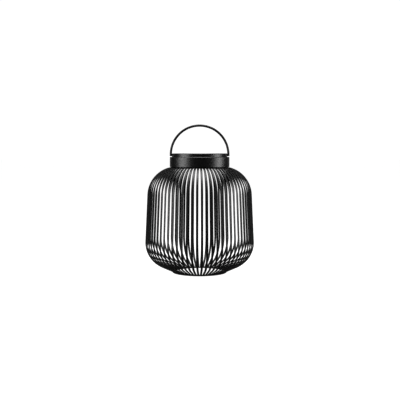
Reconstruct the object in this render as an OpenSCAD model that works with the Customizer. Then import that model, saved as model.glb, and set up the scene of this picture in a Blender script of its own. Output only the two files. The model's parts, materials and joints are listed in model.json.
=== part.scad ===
// Solar lantern: a bowed cage of flat steel slats with a lift-off solar head and a bail handle.
// The frame is the lantern's own: +Z up, origin at the centre of the base ring's resting face, front at -Y.

/* [Cage] */
// Largest outer diameter of the cage
cage_d = 250; // [246:1:254]
// Number of slats round the cage
slat_count = 70; // [70]
// Width of a slat
slat_w = 4.6; // [3:0.1:4.8]
// Thickness of a slat
slat_t = 0.9; // [0.6:0.1:1]
// Outside radius of the bend at the cage's heel
heel_r = 60; // [58:1:62]
// Height of the heel bend's centre
heel_z = 69; // [68:0.5:70]
// Outside radius of the bend at the shoulder
shoulder_r = 67; // [66.6:0.1:67.4]
// Length of the straight wall between the two bends
wall_len = 108.1; // [107.6:0.1:108.4]
// Outward lean of the wall towards the heel, in degrees
wall_tilt = 2.8; // [2.6:0.1:3]
// Slope of the foot, from the heel bend down to the base ring, in degrees
foot_slope = 24.4; // [24:0.1:25]

/* [Rings] */
// Outer radius of the base ring
base_ring_r = 62.5; // [62:0.5:63]
// Inner radius of the base ring
base_ring_in = 57.5; // [56:0.5:57.5]
// Height of the base ring
base_ring_h = 2; // [1.8:0.1:2.2]
// Outer radius of the top ring
top_ring_r = 65.9; // [65.7:0.1:65.9]
// Height of the top ring
top_ring_h = 3; // [2.6:0.1:3.4]
// Height of the bayonet collar above the top ring
collar_h = 8; // [7.6:0.1:8.4]

/* [Solar head] */
// Height of the head's lower edge above the table
skirt_z = 242.9; // [242.7:0.1:243.2]
// Outer radius of the drum
drum_r = 68.2; // [68:0.1:68.6]
// Height of the drum
drum_h = 22.5; // [22:0.1:23]
// Radius of the stepped top lid
lid_r = 63; // [62.6:0.1:63]
// Height of the lid above the drum
lid_h = 8.1; // [8:0.1:8.6]
// Side of the square solar panel
panel_side = 81; // [70:1:81]
// Number of cell strips on the panel
cell_count = 6; // [4:1:8]

/* [Handle] */
// Diameter of the handle's rod
rod_d = 5.2; // [4.6:0.1:5.2]
// Radius of the handle's arch, to the middle of the rod
bail_r = 65.9; // [65.9:0.1:66.1]
// Height of the handle's pivot above the drum
pivot_rise = 4.5; // [4.4:0.1:4.6]
// Straight leg between the pivot and the arch
leg_len = 1.3; // [1:0.1:2]

/* [Battery and button] */
// Diameter of the rechargeable cell
cell_d = 14.2; // [13.8:0.1:14.2]
// Length of the cell, tip included
cell_len = 50.5; // [50:0.1:50.5]
// Radius of the power button
button_r = 5; // [4:0.5:5]

/* [Hidden] */
$fn = 96;
eps = 0.01;
// How far a tube or strip is let into the bend that it runs on from, and how much it is thinner there
lap = 1;
relief = 0.02;

// Cage
cage_r = cage_d / 2;
slat_groups = 14;
slats_per_group = slat_count / slat_groups;
tab_in = base_ring_in + 0.5;
edge = 0.4;

// Heights of the head
seat_t = 1.2;
seat_z = skirt_z + seat_t;
floor_z = skirt_z + 9.1;
floor_t = 2;
deck_z = floor_z + floor_t;
ledge_z = skirt_z + drum_h;
flange_t = 2;
lid_top = ledge_z + lid_h;
recess_z = lid_top - 2.2;
ceiling_z = recess_z - 1.5;

// Radii of the head
skirt_in = drum_r - 2.2;
rib_in = skirt_in - 1.4;
mouth_r = 60;
spigot_in = mouth_r - 2.5;
spigot_h = 2.9;
drum_edge = 0.8;
lid_edge = 1.0;
seal_in = 60.8;
seal_out = 62.4;
seal_depth = 1.0;

// Bayonet
collar_in = 60.4;
collar_out = 61.6;
ramp_out = rib_in - 0.4;
ramp_t = 1.4;
ramp_z = skirt_z + 5.3;
ramp_span = 40;
lug_span = 16;
lug_in = collar_out + 0.4;
lug_t = 1.6;
lug_z = ramp_z - 0.4 - lug_t;
lug_count = 3;
lug_turn = 90;
ramp_gap = 14;
stop_span = 3.5;
stop_gap = 44.5;
stop_h = 3.3;

// Handle
rod_r = rod_d / 2;
pivot_z = ledge_z + pivot_rise;
arch_z = pivot_z + leg_len;
pin_r = 1.3;
pin_in = 56;
bush_gap = 0.05;
bush_in = pin_r + bush_gap;
bush_bore_in = 50;
bush_out = 2.4;
bush_end = 54.5;
bush_flange_r = 3.0;
bush_flange_t = 0.2;
boss_in = 53.5;
boss_w = 9;
boss_drop = 3.3;
nub_h = 1.7;
nub_foot_r = 1.7;
nub_top_r = 1.1;

// Lid screws: three, from below
screw_circle = 52;
screw_turn = 90;
screw_count = 3;
screw_shank = 1.25;
screw_clear = 1.6;
screw_pilot = 1.3;
screw_head_r = 2.9;
screw_head_h = 2.2;
screw_bore_r = 3.2;
screw_bore_h = 3;
screw_len = 13;
post_r = 4;
post_top = 262;

// Panel
recess_side = panel_side + 1.4;
board_t = 0.8;
cell_t = 0.3;
cover_t = 0.9;
cell_field = panel_side - 5;
cell_gap = 0.6;
sealant_w = 0.55;

// Battery bay, at the back of the head
bay_y = 33;
bay_in = [56.5, 15.2];
bay_wall = [2.25, 2.6];
bay_top = ceiling_z - 0.2;
bay_roof = bay_top - 0.7;
opening = [58, 16.4];
door = [61.4, 20.4];
door_pocket = [62, 21];
door_pocket_h = 1;
door_drop = 0.8;
door_screw_x = 34.2;
door_ear_r = 4.6;
door_post_r = 3.2;
door_post_h = 6;
door_screw_r = 0.95;
door_screw_head = [2.2, 1.2];
door_screw_len = 7;
door_screw_clear = 1.2;
door_seal_out = [57.4, 15.8];
door_seal_in = [54.6, 13];
grip = [0.8, 10, 0.4];
grip_pitch = 3;
grip_x = -18;
tip_len = 1.2;
tip_r = 2.7;
plate_t = 0.4;
cell_z = deck_z + 0.5 + cell_d / 2;
spring_wire = 0.35;
spring_turns = 4;
spring_sides = 8;
spring_steps = 14;

// Electronics, at the front of the head
pcb = [44, 28, 1.6];
pcb_y = -36;
pcb_z = floor_z + 8;
pcb_post_x = 18;
pcb_post_r = 2.6;
pcb_pilot_r = 0.9;
pcb_clear_r = 1.2;
pcb_screw_head = [2.2, 1.2];
pcb_screw_shank = [0.85, 4.6];
switch_side = 6.2;
switch_h = 3.5;
lead_r = 0.65;
lead_circle = 34;
lead_from = -52;
lead_span = 93;
wire_sides = 24;
panel_lead_x = 2.2;
panel_lead_y = -30;
lead_hole_gap = 0.35;
button_y = -38;
button_drop = 3;
button_gap = 0.3;
button_flange_r = button_r + 1.2;
button_flange_h = 0.8;
plunger_r = 1.5;

// Lamp, at the middle of the head's underside
window_r = 13;
led_board_r = 18.5;
led_board_t = 1.2;
led_pitch = 10;
led_side = 3;
led_h = 1.4;
led_screw_x = 15.8;
led_screw_pilot = 0.85;
led_screw_clear = 1.1;
led_screw_head = [1.9, 0.9];
led_screw_shank = [0.8, 2.6];
led_lead_x = 3;
led_lead_r = 0.5;
dome_r = 18;
dome_drop = 6;
dome_t = 1.2;
dome_flange_r = 21.5;
dome_flange_h = 1;
dome_sphere = (dome_r * dome_r + dome_drop * dome_drop) / (2 * dome_drop);

// Point at a length and an angle from the origin of the slat's outline
function ray(angle, len) = len * [cos(angle), sin(angle)];

// The slat's outline, in radius and height
heel_c = [cage_r - heel_r, heel_z];
wall_foot = heel_c + ray(wall_tilt, heel_r);
wall_head = wall_foot + ray(90 + wall_tilt, wall_len);
shoulder_c = wall_head - ray(wall_tilt, shoulder_r);
shoulder_end = 82;
foot_normal = foot_slope - 90;
foot_start = heel_c + ray(foot_normal, heel_r);
foot_end = [foot_start.x - (foot_start.y - base_ring_h) / tan(foot_slope), base_ring_h];

// Plain solids

module ring(r_out, r_in, h, z = 0) {
    translate([0, 0, z])
        difference() {
            cylinder(r = r_out, h = h);
            translate([0, 0, -eps]) cylinder(r = r_in, h = h + 2 * eps);
        }
}

module ring_sector(r_out, r_in, h, z, from, span) {
    rotate([0, 0, from])
        rotate_extrude(angle = span)
            translate([r_in, z]) square([r_out - r_in, h]);
}

module post(pos, r, h) {
    translate(pos) cylinder(r = r, h = h);
}

module block(size, pos) {
    translate(pos) translate([-size.x / 2, -size.y / 2, 0]) cube(size);
}

module frame(outer, inner, h, pos) {
    difference() {
        block([outer.x, outer.y, h], pos);
        block([inner.x, inner.y, h + 2], pos - [0, 0, 1]);
    }
}

// Hoop of bar with small chamfers on its four edges
module hoop(r_in, r_out, h, z) {
    rotate_extrude()
        translate([0, z])
            polygon([
                [r_in + edge, 0], [r_out - edge, 0], [r_out, edge], [r_out, h - edge],
                [r_out - edge, h], [r_in + edge, h], [r_in, h - edge], [r_in, edge]
            ]);
}

module round_screw(r_head, h_head, r_shank, len) {
    cylinder(r1 = r_head - edge, r2 = r_head, h = edge);
    translate([0, 0, edge]) cylinder(r = r_head, h = h_head - edge);
    cylinder(r = r_shank, h = h_head + len);
}

module cross_slot(r, depth) {
    for (turn = [0, 90])
        rotate([0, 0, turn])
            block([2 * r, r / 3, depth + eps], [0, 0, -eps]);
}

module at_lid_screws() {
    for (i = [0 : screw_count - 1])
        rotate([0, 0, screw_turn + i * 360 / screw_count])
            translate([screw_circle, 0, 0]) children();
}

// Cage

module bend_strip(centre, r, from, to) {
    middle = (from + to) / 2;
    intersection() {
        translate(centre)
            difference() {
                circle(r);
                circle(r - slat_t);
            }
        polygon([
            centre, centre + ray(from, 2 * r), centre + ray(middle, 2 * r), centre + ray(to, 2 * r)
        ]);
    }
}

// Straight strip along an outer edge that runs from one point to another, normal to the given angle
module straight_strip(from, to, normal) {
    along = lap * ray(normal + 90, 1);
    outer = ray(normal, -relief);
    inner = ray(normal, relief - slat_t);
    polygon([from - along + outer, to + along + outer, to + along + inner, from - along + inner]);
}

module slat_outline() {
    bend_strip(shoulder_c, shoulder_r, wall_tilt, shoulder_end);
    straight_strip(wall_foot, wall_head, wall_tilt);
    bend_strip(heel_c, heel_r, foot_normal, wall_tilt);
    difference() {
        straight_strip(foot_end, foot_start, foot_normal);
        translate([0, base_ring_h - slat_w]) square([cage_r, slat_w]);
    }
    polygon([
        [tab_in, base_ring_h], foot_end, foot_end + [slat_t / tan(foot_slope), slat_t],
        [tab_in, base_ring_h + slat_t]
    ]);
}

module slat() {
    difference() {
        rotate([90, 0, 0])
            linear_extrude(height = slat_w, center = true) slat_outline();
        translate([0, 0, skirt_z - 20]) cylinder(r = top_ring_r, h = 40);
    }
}

module slats(group) {
    color("#1c1c1d")
        for (i = [0 : slats_per_group - 1])
            rotate([0, 0, (group * slats_per_group + i) * 360 / slat_count]) slat();
}

module base_ring() {
    color("#1c1c1d") hoop(base_ring_in, base_ring_r, base_ring_h, 0);
}

module top_ring() {
    color("#1c1c1d")
        ring(top_ring_r, collar_in, top_ring_h, skirt_z - top_ring_h);
}

module bayonet_collar() {
    color("#1c1c1d") {
        ring(collar_out, collar_in, collar_h, skirt_z);
        for (i = [0 : lug_count - 1]) {
            turn = lug_turn + i * 360 / lug_count;
            ring_sector(ramp_out, collar_out - edge, ramp_t, ramp_z, turn - ramp_gap - ramp_span, ramp_span);
            ring_sector(
                ramp_out, collar_out - edge, stop_h + edge, ramp_z - stop_h,
                turn - stop_gap - stop_span, stop_span
            );
        }
    }
}

module seat_ring() {
    color("#101010") ring(skirt_in - 0.4, collar_out + 0.3, seat_t, skirt_z);
}

// Head shells

module drum_shell() {
    rotate_extrude()
        polygon([
            [0, floor_z], [rib_in, floor_z], [rib_in, seat_z], [skirt_in, seat_z], [skirt_in, skirt_z],
            [drum_r - edge, skirt_z], [drum_r, skirt_z + edge], [drum_r, ledge_z - drum_edge],
            [drum_r - drum_edge, ledge_z], [mouth_r, ledge_z], [mouth_r, ledge_z - flange_t],
            [skirt_in, ledge_z - flange_t], [skirt_in, deck_z], [0, deck_z]
        ]);
}

module head_housing() {
    color("#232324")
        difference() {
            union() {
                drum_shell();
                at_lid_screws() post([0, 0, deck_z - eps], post_r, post_top - deck_z + eps);
                for (x = [-pcb_post_x, pcb_post_x])
                    post([x, pcb_y, deck_z - eps], pcb_post_r, pcb_z - deck_z + eps);
                post([door_screw_x, bay_y, deck_z - eps], door_post_r, door_post_h + eps);
                for (i = [0 : lug_count - 1])
                    ring_sector(
                        rib_in + edge, lug_in, lug_t, lug_z,
                        lug_turn + i * 360 / lug_count - lug_span / 2, lug_span
                    );
                for (y = [-bail_r, bail_r])
                    translate([0, y, ledge_z - eps]) cylinder(r1 = nub_foot_r, r2 = nub_top_r, h = nub_h + eps);
            }
            at_lid_screws() {
                post([0, 0, floor_z - 1], screw_clear, post_top - floor_z + 2);
                post([0, 0, floor_z - 1], screw_bore_r, screw_bore_h + 1);
            }
            ring(seal_out, seal_in, seal_depth + 1, ledge_z - seal_depth);
            post([0, 0, floor_z - 1], window_r, floor_t + 2);
            for (x = [-led_screw_x, led_screw_x]) post([x, 0, floor_z + 0.3], led_screw_pilot, floor_t);
            block([opening.x, opening.y, floor_t + 2], [0, bay_y, floor_z - 1]);
            block([door_pocket.x, door_pocket.y, door_pocket_h + 1], [0, bay_y, floor_z - 1]);
            post([door_screw_x, bay_y, floor_z - 1], door_ear_r + 0.3, door_pocket_h + 1);
            post([door_screw_x, bay_y, floor_z - 1], door_screw_r + 0.05, 8);
            post([0, button_y, floor_z - 1], button_r + button_gap, floor_t + 2);
            for (x = [-pcb_post_x, pcb_post_x])
                post([x, pcb_y, pcb_z - 4], pcb_pilot_r, 6);
        }
}

module top_lid() {
    color("#232324")
        difference() {
            union() {
                rotate_extrude()
                    polygon([
                        [0, ceiling_z], [spigot_in, ceiling_z], [spigot_in, ledge_z - spigot_h],
                        [mouth_r - 0.3, ledge_z - spigot_h], [mouth_r - 0.3, ledge_z], [lid_r, ledge_z],
                        [lid_r, lid_top - lid_edge], [lid_r - lid_edge, lid_top], [0, lid_top]
                    ]);
                at_lid_screws() post([0, 0, post_top], post_r - 0.4, ceiling_z - post_top + eps);
                for (side = [-1, 1])
                    block(
                        [spigot_in - boss_in + 1, boss_w, boss_drop + eps],
                        [side * (spigot_in + boss_in + 1) / 2, 0, ceiling_z - boss_drop]
                    );
            }
            block([recess_side, recess_side, 5], [0, 0, recess_z]);
            at_lid_screws() post([0, 0, post_top - 1], screw_pilot, 8);
            for (side = [-1, 1])
                translate([side * bush_bore_in, 0, pivot_z])
                    rotate([0, side * 90, 0]) cylinder(r = bush_out + bush_gap, h = 2 * (lid_r - bush_bore_in));
            for (x = [-panel_lead_x, panel_lead_x])
                post([x, panel_lead_y, ceiling_z - 1], lead_r + lead_hole_gap, 4);
        }
}

module lid_seal() {
    color("#3a3a3a") ring(seal_out - 0.1, seal_in + 0.1, seal_depth - 0.05, ledge_z - seal_depth + 0.05);
}

module lid_screws() {
    color("silver")
        at_lid_screws()
            translate([0, 0, floor_z + screw_bore_h - screw_head_h])
                difference() {
                    round_screw(screw_head_r, screw_head_h, screw_shank, screw_len);
                    cross_slot(1.5, 1);
                }
}

// Solar panel

module solar_board() {
    color("#d8d8d2") block([panel_side, panel_side, board_t], [0, 0, recess_z]);
}

module solar_cells() {
    pitch = (cell_field + cell_gap) / cell_count;
    color("#141a33")
        for (i = [0 : cell_count - 1])
            block(
                [pitch - cell_gap, cell_field, cell_t],
                [(i - (cell_count - 1) / 2) * pitch, 0, recess_z + board_t]
            );
}

module panel_cover() {
    color("#dfe8f0", 0.35)
        block([panel_side, panel_side, cover_t], [0, 0, recess_z + board_t + cell_t]);
}

module panel_sealant() {
    inner = panel_side + 0.1;
    color("#151515")
        frame(
            [inner + 2 * sealant_w, inner + 2 * sealant_w], [inner, inner],
            board_t + cell_t, [0, 0, recess_z]
        );
}

module panel_leads() {
    color("firebrick")
        for (x = [-panel_lead_x, panel_lead_x])
            post([x, panel_lead_y, pcb_z + pcb.z], lead_r, recess_z - pcb_z - pcb.z);
}

// Electronics

module circuit_board() {
    color("#17502c")
        difference() {
            block(pcb, [0, pcb_y, pcb_z]);
            for (x = [-pcb_post_x, pcb_post_x]) post([x, pcb_y, pcb_z - 1], pcb_clear_r, pcb.z + 2);
        }
}

module board_components() {
    top = pcb_z + pcb.z;
    color("#2b2b2b") {
        block([5, 4, 1.6], [-9, -41, top]);
        block([8, 5, 4.5], [10, -45, top]);
        post([-10, -31, top], 3, 4);
        post([9, -33, top], 2.5, 6);
        post([-2, -45.5, top], 2, 5);
    }
}

module board_screws() {
    color("silver")
        for (x = [-pcb_post_x, pcb_post_x])
            translate([x, pcb_y, pcb_z + pcb.z + pcb_screw_head.y])
                mirror([0, 0, 1])
                    difference() {
                        round_screw(pcb_screw_head.x, pcb_screw_head.y, pcb_screw_shank.x, pcb_screw_shank.y);
                        cross_slot(1.2, 0.6);
                    }
}

module switch_body() {
    color("#1b1b1b")
        difference() {
            block([switch_side, switch_side, switch_h], [0, button_y, pcb_z - switch_h]);
            post([0, button_y, pcb_z - switch_h - 1], plunger_r + 0.2, switch_h + 0.6);
        }
}

module switch_plunger() {
    low = deck_z + 0.2 + button_flange_h;
    color("#c8b46a") post([0, button_y, low], plunger_r, pcb_z - 2 - low);
}

module button_cap() {
    low = floor_z - button_drop;
    color("#8d8f92") {
        post([0, button_y, low + edge], button_r, floor_t + button_drop + 0.2 - edge);
        translate([0, button_y, low]) cylinder(r1 = button_r - edge, r2 = button_r, h = edge);
        post([0, button_y, deck_z + 0.2], button_flange_r, button_flange_h);
    }
}

// Battery bay

module battery_cradle() {
    outer = bay_in + 2 * bay_wall;
    color("#2a2a2b")
        difference() {
            block([outer.x, outer.y, bay_top - deck_z], [0, bay_y, deck_z]);
            block([bay_in.x, bay_in.y, bay_roof - deck_z + 1], [0, bay_y, deck_z - 1]);
        }
}

module battery_cell() {
    tip_end = bay_in.x / 2 - plate_t;
    color("#3c7f4d")
        translate([tip_end - cell_len, bay_y, cell_z])
            rotate([0, 90, 0]) {
                cylinder(r = cell_d / 2, h = cell_len - tip_len);
                cylinder(r = tip_r, h = cell_len);
            }
}

module battery_plate() {
    color("silver")
        block([plate_t, 9, 11], [(bay_in.x - plate_t) / 2, bay_y, cell_z - 5.5]);
}

// Conical coil of round wire, swept ring by ring along X
module battery_spring() {
    free_end = bay_in.x / 2 - plate_t - cell_len;
    length = free_end + bay_in.x / 2 - 2 * spring_wire - 0.1;
    rings = spring_turns * spring_steps;
    function coil_r(s) = 5.5 - 2.6 * s;
    function coil_x(s) = -bay_in.x / 2 + spring_wire + 0.05 + length * s;
    points = [
        for (i = [0 : rings], j = [0 : spring_sides - 1])
            let (s = i / rings, turn = 360 * spring_turns * s, side = 360 * j / spring_sides)
            let (r = coil_r(s) + spring_wire * cos(side))
            [coil_x(s) + spring_wire * sin(side), r * cos(turn), r * sin(turn)]
    ];
    walls = [
        for (i = [0 : rings - 1], j = [0 : spring_sides - 1])
            let (k = (j + 1) % spring_sides, a = i * spring_sides, b = a + spring_sides)
            [a + j, a + k, b + k, b + j]
    ];
    start = [for (j = [spring_sides - 1 : -1 : 0]) j];
    finish = [for (j = [0 : spring_sides - 1]) rings * spring_sides + j];
    color("silver")
        translate([0, bay_y, cell_z]) polyhedron(points, concat(walls, [start, finish]));
}

module battery_leads() {
    color("firebrick")
        for (side = [0, 1])
            mirror([side, 0, 0])
                translate([0, 0, pcb_z + pcb.z + lead_r + 0.05])
                    rotate([0, 0, lead_from])
                        rotate_extrude(angle = lead_span)
                            translate([lead_circle, 0]) circle(lead_r, $fn = wire_sides);
}

module battery_door() {
    low = floor_z - door_drop;
    height = door_drop + door_pocket_h;
    color("#1f1f20")
        difference() {
            union() {
                block([door.x, door.y, height], [0, bay_y, low]);
                post([door_screw_x, bay_y, low], door_ear_r, height);
            }
            post([door_screw_x, bay_y, low - 1], door_screw_clear, height + 2);
            for (i = [-3 : 3])
                block(grip + [0, 0, eps], [i * grip_pitch + grip_x, bay_y, low - eps]);
        }
}

module door_seal() {
    color("#6f6f70")
        frame(door_seal_out, door_seal_in, floor_t - door_pocket_h, [0, bay_y, floor_z + door_pocket_h]);
}

module door_screw() {
    color("silver")
        translate([door_screw_x, bay_y, floor_z - door_drop - door_screw_head.y])
            difference() {
                round_screw(door_screw_head.x, door_screw_head.y, door_screw_r, door_screw_len);
                cross_slot(1.2, 0.6);
            }
}

// Lamp

module led_board() {
    color("#e8e8e4")
        difference() {
            post([0, 0, deck_z], led_board_r, led_board_t);
            for (x = [-led_screw_x, led_screw_x]) post([x, 0, deck_z - 1], led_screw_clear, led_board_t + 2);
        }
}

module led_emitters() {
    color("#f5e6a0")
        for (i = [0 : 3])
            rotate([0, 0, i * 90])
                block([led_side, led_side, led_h], [led_pitch / 2, led_pitch / 2, deck_z - led_h]);
}

module led_screws() {
    color("silver")
        for (x = [-led_screw_x, led_screw_x])
            translate([x, 0, deck_z + led_board_t + led_screw_head.y])
                mirror([0, 0, 1])
                    difference() {
                        round_screw(led_screw_head.x, led_screw_head.y, led_screw_shank.x, led_screw_shank.y);
                        cross_slot(1.1, 0.5);
                    }
}

module led_leads() {
    bend = pcb_z + 0.7 - deck_z - led_board_t;
    color("firebrick")
        for (x = [-led_lead_x, led_lead_x])
            translate([x, pcb_y + pcb.y / 2, deck_z + led_board_t])
                rotate([90, 0, 90])
                    rotate_extrude(angle = 90) translate([bend, 0]) circle(led_lead_r, $fn = wire_sides);
}

module diffuser() {
    sphere_z = floor_z - dome_flange_h - dome_drop + dome_sphere;
    color("#f4f2ea")
        rotate_extrude() {
            intersection() {
                translate([0, sphere_z])
                    difference() {
                        circle(dome_sphere);
                        circle(dome_sphere - dome_t);
                    }
                translate([0, floor_z - dome_flange_h - dome_drop - 1]) square([dome_r + 5, dome_drop + 1.2]);
            }
            translate([dome_r - 2, floor_z - dome_flange_h]) square([dome_flange_r - dome_r + 2, dome_flange_h]);
        }
}

// Handle

module bush(side) {
    color("#0f0f0f")
        translate([0, 0, pivot_z])
            rotate([0, side * 90, 0])
                difference() {
                    union() {
                        translate([0, 0, bush_end]) cylinder(r = bush_out, h = lid_r - bush_end);
                        translate([0, 0, lid_r]) cylinder(r = bush_flange_r, h = bush_flange_t);
                    }
                    translate([0, 0, bush_end - 1]) cylinder(r = bush_in, h = lid_r - bush_end + 3);
                }
}

module handle_bail() {
    color("#161616") {
        translate([0, 0, arch_z])
            rotate([90, 0, 0])
                rotate_extrude(angle = 180) translate([bail_r, 0]) circle(rod_r - relief);
        for (side = [-1, 1]) {
            translate([side * bail_r, 0, pivot_z - rod_r])
                cylinder(r = rod_r, h = rod_r + leg_len + lap);
            translate([side * bail_r, 0, pivot_z])
                rotate([0, -side * 90, 0]) cylinder(r = pin_r, h = bail_r - pin_in);
        }
    }
}

for (group = [0 : slat_groups - 1])
    slats(group);
base_ring();
top_ring();
bayonet_collar();
seat_ring();
head_housing();
top_lid();
lid_seal();
lid_screws();
solar_board();
solar_cells();
panel_cover();
panel_sealant();
panel_leads();
circuit_board();
board_components();
board_screws();
switch_body();
battery_cradle();
battery_cell();
battery_plate();
battery_spring();
battery_leads();
battery_door();
door_seal();
door_screw();
led_board();
led_emitters();
led_screws();
led_leads();
diffuser();
bush(-1);  // bush_left
bush(1);  // bush_right
handle_bail();
button_cap();
switch_plunger();
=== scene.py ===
"""Looks of the solar lantern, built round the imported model. Metres, +Z up, the front faces -Y."""

import json
import math
import random

import bmesh
import bpy
from mathutils import Matrix, Vector


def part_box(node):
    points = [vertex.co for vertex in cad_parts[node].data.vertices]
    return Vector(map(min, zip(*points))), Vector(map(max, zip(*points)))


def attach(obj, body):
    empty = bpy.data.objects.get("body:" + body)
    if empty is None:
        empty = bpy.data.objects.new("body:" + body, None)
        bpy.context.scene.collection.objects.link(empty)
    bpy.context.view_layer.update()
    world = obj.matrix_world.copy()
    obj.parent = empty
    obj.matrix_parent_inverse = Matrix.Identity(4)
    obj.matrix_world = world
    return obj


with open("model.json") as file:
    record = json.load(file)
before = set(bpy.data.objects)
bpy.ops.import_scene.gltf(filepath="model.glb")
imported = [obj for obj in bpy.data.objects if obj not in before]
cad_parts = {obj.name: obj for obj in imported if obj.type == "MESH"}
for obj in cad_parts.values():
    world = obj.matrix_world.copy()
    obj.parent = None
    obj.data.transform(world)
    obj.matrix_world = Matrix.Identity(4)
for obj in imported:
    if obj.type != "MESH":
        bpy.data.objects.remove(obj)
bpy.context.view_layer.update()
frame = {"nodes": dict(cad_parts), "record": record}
NODES = frame["nodes"]
MM = 0.001


# ---------------------------------------------------------------- camera

SENSOR = 36.0
FOCAL_IN_WIDTHS = 1.85
CAMERA_DISTANCE = 1.699
EYE_HEIGHT = 0.2745
CAMERA_RIGHT = 0.0009
PITCH_DOWN = math.radians(3.634)
FAR_CLIP = 100


def put_in_scene(thing):
    bpy.context.scene.collection.objects.link(thing)


def make_camera():
    data = bpy.data.cameras.new("camera")
    data.sensor_width = SENSOR
    data.lens = SENSOR * FOCAL_IN_WIDTHS
    data.clip_end = FAR_CLIP
    camera = bpy.data.objects.new("camera", data)
    camera.location = (CAMERA_RIGHT, -CAMERA_DISTANCE, EYE_HEIGHT)
    camera.rotation_euler = (math.pi / 2 - PITCH_DOWN, 0, 0)
    put_in_scene(camera)
    bpy.context.scene.camera = camera


make_camera()


# ---------------------------------------------------------------- shader helpers

NOISE_LOW, NOISE_HIGH = 0.3, 0.7        # the part of its range in which a noise texture mostly stays


class Shader:
    """A material's node tree, with short calls for the nodes that the looks use."""

    def __init__(self, name, roughness, colour, **sockets):
        self.material = bpy.data.materials.new(name)
        self.material.use_nodes = True
        self.tree = self.material.node_tree
        self.bsdf = self.tree.nodes["Principled BSDF"]
        self.place = self.tree.nodes.new("ShaderNodeTexCoord").outputs["Object"]
        self.set("Base Color", (*colour, 1))
        self.set("Roughness", roughness)
        for socket, value in sockets.items():
            self.set(socket.replace("_", " "), value)

    def set(self, socket, value):
        self.bsdf.inputs[socket].default_value = value

    def feed(self, socket, value):
        """Links a node's output to a socket, or sets the socket to a plain value."""
        if isinstance(value, bpy.types.NodeSocket):
            self.tree.links.new(value, socket)
        else:
            socket.default_value = value

    def node(self, kind, values=(), **settings):
        made = self.tree.nodes.new(kind)
        for key, value in settings.items():
            setattr(made, key, value)
        for key, value in dict(values).items():
            self.feed(made.inputs[key], value)
        return made

    def link(self, source, socket):
        self.tree.links.new(source, self.bsdf.inputs[socket])

    def noise(self, per_metre, detail=3.0, place=None):
        values = {"Vector": place or self.place, "Scale": per_metre, "Detail": detail}
        return self.node("ShaderNodeTexNoise", values).outputs["Fac"]

    def cells(self, per_metre, output="Distance"):
        values = {"Vector": self.place, "Scale": per_metre}
        return self.node("ShaderNodeTexVoronoi", values).outputs[output]

    def waves(self, per_metre, **settings):
        values = {"Vector": self.place, "Scale": per_metre, "Distortion": 1.0}
        return self.node("ShaderNodeTexWave", values, **settings).outputs["Fac"]

    def red(self, colour):
        return self.node("ShaderNodeSeparateColor", {"Color": colour}).outputs[0]

    def stretched(self, x, y, z):
        values = {"Vector": self.place, "Scale": (x, y, z)}
        return self.node("ShaderNodeMapping", values).outputs["Vector"]

    def axis(self, name):
        return self.node("ShaderNodeSeparateXYZ", {"Vector": self.place}).outputs[name]

    def math(self, operation, a, b=0.0):
        return self.node("ShaderNodeMath", {0: a, 1: b}, operation=operation).outputs[0]

    def span(self, source, low, high, to_low, to_high):
        values = {"Value": source, 1: low, 2: high, 3: to_low, 4: to_high}
        return self.node("ShaderNodeMapRange", values).outputs["Result"]

    def swing(self, noise, low, high):
        """A noise spread out between two values."""
        return self.span(noise, NOISE_LOW, NOISE_HIGH, low, high)

    def mix(self, fraction, first, second):
        made = self.node("ShaderNodeMix", data_type="RGBA")
        self.feed(made.inputs[0], fraction)
        for socket, value in ((made.inputs[6], first), (made.inputs[7], second)):
            self.feed(socket, (*value, 1) if isinstance(value, tuple) else value)
        return made.outputs[2]

    def tint(self, colour, noise, dark, light):
        """A colour that drifts between a darker and a lighter version of itself."""
        low = tuple(c * dark for c in colour)
        high = tuple(min(1, c * light) for c in colour)
        return self.mix(self.swing(noise, 0, 1), low, high)

    def bump(self, height, depth_mm):
        values = {"Height": height, "Distance": depth_mm * MM, "Strength": 1.0}
        self.link(self.node("ShaderNodeBump", values).outputs["Normal"], "Normal")


# ---------------------------------------------------------------- looks

def powder_coat(name, colour, roughness):
    """Sprayed and baked powder: a fine orange peel, slightly uneven gloss and a few rubbed spots."""
    s = Shader(name, roughness, colour, Specular_IOR_Level=0.42)
    peel = s.noise(1400, 2.0)
    blotch = s.noise(45, 4.0)
    rubbed = s.span(s.noise(160, 6.0), 0.64, 0.74, 0, 1)
    worn = tuple(c * 2.4 for c in colour)
    s.link(s.mix(rubbed, s.tint(colour, blotch, 0.85, 1.2), worn), "Base Color")
    s.link(s.swing(blotch, roughness - 0.05, roughness + 0.07), "Roughness")
    s.bump(peel, 0.035)
    return s.material


def moulded(name, colour, roughness, grain=2600):
    """Moulded plastic: spark-eroded grain, faint flow marks and a little dust in the gloss."""
    s = Shader(name, roughness, colour, Specular_IOR_Level=0.5)
    flow = s.noise(18, 2.0, s.stretched(1, 1, 5))
    dust = s.noise(240, 8.0)
    s.link(s.tint(colour, flow, 0.9, 1.15), "Base Color")
    s.link(s.span(dust, 0.35, 0.7, roughness - 0.03, roughness + 0.06), "Roughness")
    s.bump(s.cells(grain), 0.02)
    return s.material


def rubber(name, colour, roughness=0.75):
    """Rubber or silicone: a pale bloom and a fine dull skin."""
    s = Shader(name, roughness, colour, Specular_IOR_Level=0.3)
    bloom = s.noise(120, 5.0)
    s.link(s.tint(colour, bloom, 0.8, 1.5), "Base Color")
    s.link(s.swing(bloom, roughness - 0.1, roughness + 0.08), "Roughness")
    s.bump(s.noise(2200, 2.0), 0.03)
    return s.material


def plated(name, colour, roughness, streak=(1, 1, 12)):
    """Plated or brushed metal: drawn streaks and faint stains."""
    s = Shader(name, roughness, colour, Metallic=1.0)
    drawn = s.noise(900, 3.0, s.stretched(*streak))
    stain = s.noise(140, 6.0)
    s.link(s.tint(colour, stain, 0.72, 1.1), "Base Color")
    s.link(s.swing(drawn, roughness - 0.08, roughness + 0.12), "Roughness")
    s.bump(drawn, 0.01)
    return s.material


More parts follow.
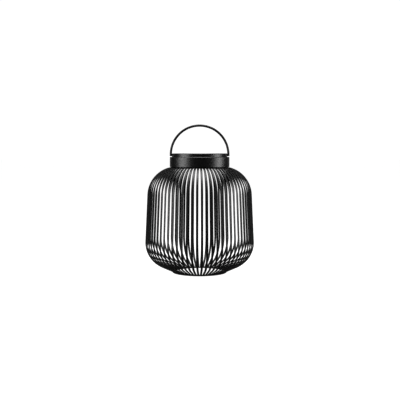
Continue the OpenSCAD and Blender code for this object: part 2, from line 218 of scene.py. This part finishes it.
def laminate(name, colour):
    """Glass-fibre board: a woven grain under the mask."""
    s = Shader(name, 0.5, colour, Specular_IOR_Level=0.5)
    weave = s.math("MULTIPLY", s.waves(420.0), s.waves(420.0, bands_direction="Y"))
    s.link(s.tint(colour, weave, 0.85, 1.12), "Base Color")
    s.bump(weave, 0.015)
    return s.material


def silicon(name):
    """Deep blue cell strips: crystal grains, with an anti-reflection sheen."""
    s = Shader(name, 0.22, (0.01, 0.018, 0.06), Specular_IOR_Level=0.6, Coat_Weight=0.4, Coat_Roughness=0.1)
    crystal = s.red(s.cells(190.0, "Color"))
    s.link(s.mix(crystal, (0.006, 0.012, 0.045), (0.014, 0.028, 0.095)), "Base Color")
    s.link(s.span(crystal, 0, 1, 0.18, 0.3), "Roughness")
    return s.material


def clear_resin(name):
    """Cast resin over the cells: clear, with slow ripples and a few duller patches."""
    s = Shader(name, 0.06, (0.93, 0.96, 1.0), Transmission_Weight=1.0, IOR=1.5, Alpha=0.35)
    s.link(s.swing(s.noise(60, 4.0), 0.03, 0.1), "Roughness")
    s.bump(s.noise(35, 2.0), 0.05)
    return s.material


def opal(name, colour):
    """Frosted opal plastic, which lets light in a little way."""
    s = Shader(name, 0.45, colour, Subsurface_Weight=0.25, Specular_IOR_Level=0.4)
    s.set("Subsurface Radius", (2 * MM, 1.8 * MM, 1.5 * MM))
    s.set("Subsurface Scale", 1.0)
    haze = s.noise(70, 4.0)
    s.link(s.tint(colour, haze, 0.93, 1.05), "Base Color")
    s.link(s.swing(haze, 0.38, 0.52), "Roughness")
    s.bump(s.cells(1500), 0.03)
    return s.material


def sleeved_cell(name):
    """Battery: a plain shrink sleeve in two tones, with bare steel at both ends."""
    green, pale_band, scuffed, steel = (0.035, 0.2, 0.08), (0.5, 0.5, 0.48), (0.2, 0.3, 0.22), (0.6, 0.6, 0.58)
    low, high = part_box("battery_cell")
    sleeve_start = low.x + 0.6 * MM
    sleeve_end = high.x - 2.4 * MM
    band_start = high.x - 12 * MM
    s = Shader(name, 0.3, green, Specular_IOR_Level=0.5)
    x = s.axis("X")
    inside = s.math("MULTIPLY", s.math("GREATER_THAN", x, sleeve_start), s.math("LESS_THAN", x, sleeve_end))
    band = s.math("GREATER_THAN", x, band_start)
    scuff = s.noise(300, 6.0)
    sleeve = s.mix(band, green, pale_band)
    sleeve = s.mix(s.span(scuff, 0.62, 0.75, 0, 0.5), sleeve, scuffed)
    s.link(s.mix(inside, steel, sleeve), "Base Color")
    s.link(s.math("SUBTRACT", 1.0, inside), "Metallic")
    s.link(s.swing(scuff, 0.24, 0.4), "Roughness")
    s.bump(s.noise(500, 3.0), 0.02)
    return s.material


def solder_mask(name, colour, copper):
    """Circuit board under a mask, which is lighter where copper tracks run below it."""
    s = Shader(name, 0.32, colour, Specular_IOR_Level=0.5)
    black, white = (0, 0, 0, 1), (1, 1, 1, 1)
    values = {"Vector": s.place, "Scale": 260.0, "Mortar Size": 0.03,
              "Color1": black, "Color2": black, "Mortar": white}
    tracks = s.red(s.node("ShaderNodeTexBrick", values).outputs["Color"])
    s.link(s.mix(tracks, s.tint(colour, s.noise(900, 2.0), 0.9, 1.1), copper), "Base Color")
    s.bump(tracks, 0.03)
    return s.material


def phosphor(name, colour):
    """Yellow phosphor grains in clear gel."""
    s = Shader(name, 0.4, colour, Subsurface_Weight=0.2, Specular_IOR_Level=0.5)
    speck = s.noise(2500, 4.0)
    s.link(s.tint(colour, speck, 0.85, 1.1), "Base Color")
    s.bump(speck, 0.02)
    return s.material


def two_leads(name):
    """Lead insulation: red on the +X side and black on the -X side."""
    red, black = (0.42, 0.02, 0.015), (0.015, 0.015, 0.015)
    s = Shader(name, 0.45, red, Specular_IOR_Level=0.4)
    side = s.math("GREATER_THAN", s.axis("X"), 0.0)
    s.link(s.mix(side, black, red), "Base Color")
    s.link(s.swing(s.noise(400, 3.0), 0.38, 0.55), "Roughness")
    s.bump(s.noise(1500, 2.0), 0.02)
    return s.material


def printed_silver(name, colour):
    """Fired silver paste: grey and grainy, with a soft metal sheen."""
    s = Shader(name, 0.5, colour, Metallic=0.35)
    grain = s.noise(4000, 4.0)
    s.link(s.tint(colour, grain, 0.8, 1.1), "Base Color")
    s.link(s.swing(grain, 0.42, 0.6), "Roughness")
    s.bump(grain, 0.01)
    return s.material


BLACK_PAINT = (0.004, 0.004, 0.0041)
BLACK_SHELL = (0.0032, 0.0032, 0.0033)
LOOKS = {
    "cage_coat": powder_coat("cage_coat_look", BLACK_PAINT, 0.42),
    "handle_coat": powder_coat("handle_coat_look", BLACK_PAINT, 0.4),
    "seat_rubber": rubber("seat_rubber_look", (0.02, 0.02, 0.02)),
    "shell_plastic": moulded("shell_plastic_look", BLACK_SHELL, 0.34),
    "cradle_plastic": moulded("cradle_plastic_look", (0.02, 0.02, 0.021), 0.5),
    "screw_steel": plated("screw_steel_look", (0.56, 0.56, 0.55), 0.3),
    "contact_metal": plated("contact_metal_look", (0.66, 0.65, 0.62), 0.22, (12, 1, 1)),
    "panel_board": laminate("panel_board_look", (0.6, 0.6, 0.55)),
    "cell_silicon": silicon("cell_silicon_look"),
    "panel_resin": clear_resin("panel_resin_look"),
    "sealant": rubber("sealant_look", (0.01, 0.01, 0.01), 0.4),
    "lead_insulation": two_leads("lead_insulation_look"),
    "board_green": solder_mask("board_green_look", (0.01, 0.11, 0.035), (0.03, 0.2, 0.07)),
    "component_black": moulded("component_black_look", (0.02, 0.02, 0.02), 0.55, 3000),
    "battery_wrap": sleeved_cell("battery_wrap_look"),
    "board_white": solder_mask("board_white_look", (0.78, 0.78, 0.75), (0.7, 0.7, 0.66)),
    "led_phosphor": phosphor("led_phosphor_look", (0.8, 0.62, 0.12)),
    "diffuser_opal": opal("diffuser_opal_look", (0.82, 0.8, 0.74)),
    "button_rubber": rubber("button_rubber_look", (0.13, 0.13, 0.135), 0.6),
    "plunger_plastic": moulded("plunger_plastic_look", (0.5, 0.38, 0.14), 0.4),
}


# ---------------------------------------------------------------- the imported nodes

EDGE_WIDTHS_MM = {
    "slats": 0.1, "base_ring": 0.12, "top_ring": 0.25, "bayonet_collar": 0.15, "head_housing": 0.2,
    "top_lid": 0.2, "panel_cover": 0.3, "battery_door": 0.15, "battery_cradle": 0.2, "board_components": 0.15,
    "circuit_board": 0.08, "solar_board": 0.08, "switch_body": 0.12, "button_cap": 0.1, "led_emitters": 0.12,
    "led_board": 0.08, "battery_cell": 0.25, "lid_screws": 0.08, "board_screws": 0.08, "led_screws": 0.06,
    "door_screw": 0.08, "handle_bail": 0.25,
}
EDGE_STEPS = 2
SHARP_ANGLE = math.radians(32)
WELD_DISTANCE = 1e-6
FACE_AREA_WEIGHT = 50


def soften_edges(node, width):
    """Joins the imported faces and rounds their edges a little, as paint, moulding and tumbling do."""
    weld = node.modifiers.new("weld", "WELD")
    weld.merge_threshold = WELD_DISTANCE
    bevel = node.modifiers.new("edges", "BEVEL")
    bevel.width = width
    bevel.segments = EDGE_STEPS
    bevel.limit_method = "ANGLE"
    bevel.angle_limit = SHARP_ANGLE
    bevel.use_clamp_overlap = True
    bevel.harden_normals = False
    normals = node.modifiers.new("normals", "WEIGHTED_NORMAL")
    normals.keep_sharp = False
    normals.weight = FACE_AREA_WEIGHT


def dress_nodes():
    slots = {row["node"]: row["material_slot"] for row in frame["record"]["subparts"]}
    for name, node in NODES.items():
        node.data.materials.clear()
        node.data.materials.append(LOOKS[slots[name]])
        group = "slats" if name.startswith("slats_") else name
        if group in EDGE_WIDTHS_MM:
            soften_edges(node, EDGE_WIDTHS_MM[group] * MM)


dress_nodes()


# ---------------------------------------------------------------- pieces that the CAD leaves out

SLATS = 70
LAMPS = 4
CELL_STRIPS = 6
CELL_GAP = 0.6 * MM
SEED = 7


def add_piece(name, mesh, body, slot, look=None, smooth=True):
    """Turns a bmesh into a piece that rides on a body and takes a finish from a slot."""
    data = bpy.data.meshes.new(name)
    bmesh.ops.recalc_face_normals(mesh, faces=mesh.faces)
    mesh.to_mesh(data)
    mesh.free()
    piece = bpy.data.objects.new(name, data)
    put_in_scene(piece)
    for face in data.polygons:
        face.use_smooth = smooth
    data.materials.append(look or LOOKS[slot])
    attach(piece, body)


def round_z(radius, angle, z=0.0):
    """A point at a radius and an angle from the lantern's axis."""
    return Vector((radius * math.cos(angle), radius * math.sin(angle), z))


def blob(mesh, place, size_mm, turn=0.0, rough=0.0):
    """A small rounded lump, slightly uneven: a weld, a drop of solder or of gel."""
    made = bmesh.ops.create_icosphere(mesh, subdivisions=2, radius=1.0)["verts"]
    for vert in made:
        vert.co *= 1 + random.uniform(-rough, rough)
    size = Matrix.Diagonal((*(v * MM for v in size_mm), 1))
    matrix = Matrix.Translation(place) @ Matrix.Rotation(turn, 4, "Z") @ size
    bmesh.ops.transform(mesh, matrix=matrix, verts=made)


def bar(mesh, low, high, edge):
    """A flat strip with chamfered upper edges, between two corners."""
    x, y = (low[0], high[0]), (low[1], high[1])
    foot = [mesh.verts.new((x[i], y[j], low[2])) for i, j in ((0, 0), (1, 0), (1, 1), (0, 1))]
    inset = ((edge, edge), (-edge, edge), (-edge, -edge), (edge, -edge))
    crown = [mesh.verts.new((v.co.x + dx, v.co.y + dy, high[2])) for v, (dx, dy) in zip(foot, inset)]
    mesh.faces.new(foot)
    mesh.faces.new(crown)
    for i in range(4):
        k = (i + 1) % 4
        mesh.faces.new((foot[i], foot[k], crown[k], crown[i]))


def slat_welds():
    """Tack welds: one between each two slats on the base ring, and one under each slat at the top ring."""
    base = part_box("base_ring")[1]
    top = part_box("top_ring")[1]
    base_r, base_z = base.x - 2.2 * MM, base.z + 0.1 * MM
    top_r, top_z = top.x + 0.2 * MM, top.z - 1.75 * MM
    uneven = 0.08
    mesh = bmesh.new()
    for i in range(SLATS):
        gap = math.tau * (i + 0.5) / SLATS
        place = round_z(base_r + random.uniform(-0.3, 0.3) * MM, gap, base_z)
        blob(mesh, place, (1.3, 0.5, 0.42), gap, uneven)
        slat = math.tau * i / SLATS
        blob(mesh, round_z(top_r, slat, top_z), (0.7, random.uniform(1.5, 1.9), 0.55), slat, uneven)
    add_piece("slat_welds", mesh, "cage", "cage_coat")


def cell_print():
    """Silver fingers across each cell strip, a busbar along it, and tabs that join the strips in a row."""
    low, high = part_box("solar_cells")
    pitch = (high.x - low.x + CELL_GAP) / CELL_STRIPS
    fingers, finger_half, finger_margin = 32, 0.05 * MM, 0.5 * MM
    bus_half, bus_margin = 0.45 * MM, 0.4 * MM
    tab_length, tab_near, tab_far = 1.8 * MM, 0.8 * MM, 2.6 * MM
    step = (high.y - low.y) / fingers
    base = high.z - 0.02 * MM
    finger_top = high.z + 0.05 * MM
    bus_top = finger_top + 0.05 * MM
    tab_top = finger_top + 0.12 * MM
    mesh = bmesh.new()
    for i in range(CELL_STRIPS):
        left = low.x + i * pitch
        right = left + pitch - CELL_GAP
        middle = (left + right) / 2
        for k in range(fingers):
            y = low.y + (k + 0.5) * step
            bar(mesh, (left + finger_margin, y - finger_half, base),
                (right - finger_margin, y + finger_half, finger_top), 0.01 * MM)
        bar(mesh, (middle - bus_half, low.y + bus_margin, base),
            (middle + bus_half, high.y - bus_margin, bus_top), 0.04 * MM)
        if i:
            end = high.y - tab_far if i % 2 else low.y + tab_near
            bar(mesh, (middle - pitch, end, base), (middle, end + tab_length, tab_top), 0.05 * MM)
    silver = printed_silver("printed_silver_look", (0.34, 0.34, 0.35))
    add_piece("cell_print", mesh, "solar_head", "cell_silicon", silver, smooth=False)


def gel_drops():
    """The domed gel in each lamp's cup."""
    low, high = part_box("led_emitters")
    lamp_half = 1.5 * MM
    circle_r = (high.x - lamp_half) * math.sqrt(2)
    mesh = bmesh.new()
    for turn in range(LAMPS):
        place = round_z(circle_r, math.tau * (turn + 0.5) / LAMPS, low.z)
        blob(mesh, place, (1.1, 1.1, 0.45))
    add_piece("gel_drops", mesh, "solar_head", "led_phosphor")


def solder_joints():
    """Solder where the leads and the parts' legs go through the circuit board."""
    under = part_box("circuit_board")[0].z
    battery_leads = ((-10, -30), (-10, -32))
    panel_leads = ((9, -32), (9, -34))
    lamp_leads = ((-2, -44.5), (-2, -46.5))
    legs = ((-2.2, -30), (2.2, -30), (13, -43), (13, -47), (7, -43), (7, -47))
    mesh = bmesh.new()
    for x, y in battery_leads + panel_leads + lamp_leads + legs:
        blob(mesh, (x * MM, y * MM, under), (0.8, 0.8, 0.55), 0.0, 0.05)
    add_piece("solder_joints", mesh, "solar_head", "screw_steel")


def button_mark():
    """A raised open ring and a bar on the button, so that a finger finds it from below."""
    low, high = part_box("button_cap")
    centre = Vector(((low.x + high.x) / 2, (low.y + high.y) / 2, low.z))
    steps, sides = 40, 10
    ring_r, wire_mm = 2.6 * MM, 0.22
    bar_half_mm, bar_out = 1.5, 1.9 * MM
    opening = math.radians(38)
    wire = [round_z(wire_mm * MM, math.tau * k / sides) for k in range(sides)]
    mesh = bmesh.new()
    rows = []
    for i in range(steps + 1):
        out = round_z(1.0, math.pi / 2 + opening + (math.tau - 2 * opening) * i / steps)
        rows.append([mesh.verts.new(centre + out * (ring_r + w.x) + Vector((0, 0, w.y))) for w in wire])
    for first, second in zip(rows, rows[1:]):
        for k in range(sides):
            mesh.faces.new((first[k], first[(k + 1) % sides], second[(k + 1) % sides], second[k]))
    mesh.faces.new(rows[0])
    mesh.faces.new(rows[-1])
    blob(mesh, centre + Vector((0, bar_out, 0)), (wire_mm, bar_half_mm, wire_mm))
    add_piece("button_mark", mesh, "button", "button_rubber")


def make_pieces():
    random.seed(SEED)
    slat_welds()
    cell_print()
    gel_drops()
    solder_joints()
    button_mark()


make_pieces()


# ---------------------------------------------------------------- stage and light

FLOOR_SIZE = 60.0
FLOOR_GLOW = 0.98           # how white the camera sees the floor
FLOOR_GREY = 0.15           # how much light the floor gives back to the object
SKY_GLOW = 1.05
ROOM_LIGHT = 0.008
SUN_STRENGTH = 0.45
SUN_SPREAD = math.radians(100)
AIM_HEIGHT = 0.2
VIEW_GAMMA = 0.8
BOXES = (                   # name, azimuth (0 is the camera's side, 90 the right), height, distance, size, watts
    ("left_box", -66, 0.6, 1.9, (1.3, 1.6), 54),
    ("right_box", 78, 0.6, 1.9, (1.2, 1.6), 50),
    ("top_box", 0, 2.0, 0.01, (1.6, 1.6), 60),
    ("back_left_box", -150, 0.8, 2.4, (0.7, 1.5), 1.5),
    ("back_right_box", 150, 0.8, 2.4, (0.7, 1.5), 1.5),
)


def stage_floor():
    """White floor to the camera, without an edge in view; a dim grey one to the object."""
    bpy.ops.mesh.primitive_plane_add(size=FLOOR_SIZE, location=(0, 0, 0))
    floor = bpy.context.object
    floor.name = "floor"
    material = bpy.data.materials.new("floor_white")
    material.use_nodes = True
    tree = material.node_tree
    tree.nodes.clear()
    paint = tree.nodes.new("ShaderNodeBsdfDiffuse")
    glow = tree.nodes.new("ShaderNodeEmission")
    path = tree.nodes.new("ShaderNodeLightPath")
    share = tree.nodes.new("ShaderNodeMath")
    both = tree.nodes.new("ShaderNodeAddShader")
    out = tree.nodes.new("ShaderNodeOutputMaterial")
    paint.inputs["Color"].default_value = (FLOOR_GREY, FLOOR_GREY, FLOOR_GREY, 1)
    share.operation = "MULTIPLY"
    share.inputs[1].default_value = FLOOR_GLOW
    tree.links.new(path.outputs["Is Camera Ray"], share.inputs[0])
    tree.links.new(share.outputs[0], glow.inputs["Strength"])
    tree.links.new(paint.outputs[0], both.inputs[0])
    tree.links.new(glow.outputs[0], both.inputs[1])
    tree.links.new(both.outputs[0], out.inputs["Surface"])
    floor.data.materials.append(material)


def sky():
    """White to the camera; a nearly dark room to the object."""
    world = bpy.data.worlds.new("studio")
    bpy.context.scene.world = world
    world.use_nodes = True
    tree = world.node_tree
    tree.nodes.clear()
    out = tree.nodes.new("ShaderNodeOutputWorld")
    mix = tree.nodes.new("ShaderNodeMixShader")
    path = tree.nodes.new("ShaderNodeLightPath")
    tree.links.new(path.outputs["Is Camera Ray"], mix.inputs[0])
    for socket, strength in ((mix.inputs[1], ROOM_LIGHT), (mix.inputs[2], SKY_GLOW)):
        shade = tree.nodes.new("ShaderNodeBackground")
        shade.inputs["Color"].default_value = (1, 1, 1, 1)
        shade.inputs["Strength"].default_value = strength
        tree.links.new(shade.outputs[0], socket)
    tree.links.new(mix.outputs[0], out.inputs[0])


def add_light(name, kind, energy):
    light = bpy.data.objects.new(name, bpy.data.lights.new(name, kind))
    light.data.energy = energy
    put_in_scene(light)
    return light


def light_box(name, azimuth, height, distance, size, power):
    """A soft rectangular light that faces the object and stays out of the picture."""
    light = add_light(name, "AREA", power)
    light.data.shape = "RECTANGLE"
    light.data.size, light.data.size_y = size
    angle = math.radians(azimuth)
    light.location = (distance * math.sin(angle), -distance * math.cos(angle), height)
    aim = Vector((0, 0, AIM_HEIGHT)) - light.location
    light.rotation_euler = aim.to_track_quat("-Z", "Y").to_euler()
    light.visible_camera = False


def studio():
    stage_floor()
    sky()
    add_light("overhead", "SUN", SUN_STRENGTH).data.angle = SUN_SPREAD
    for box in BOXES:
        light_box(*box)
    view = bpy.context.scene.view_settings
    view.view_transform = "Standard"
    view.look = "None"
    view.gamma = VIEW_GAMMA


studio()
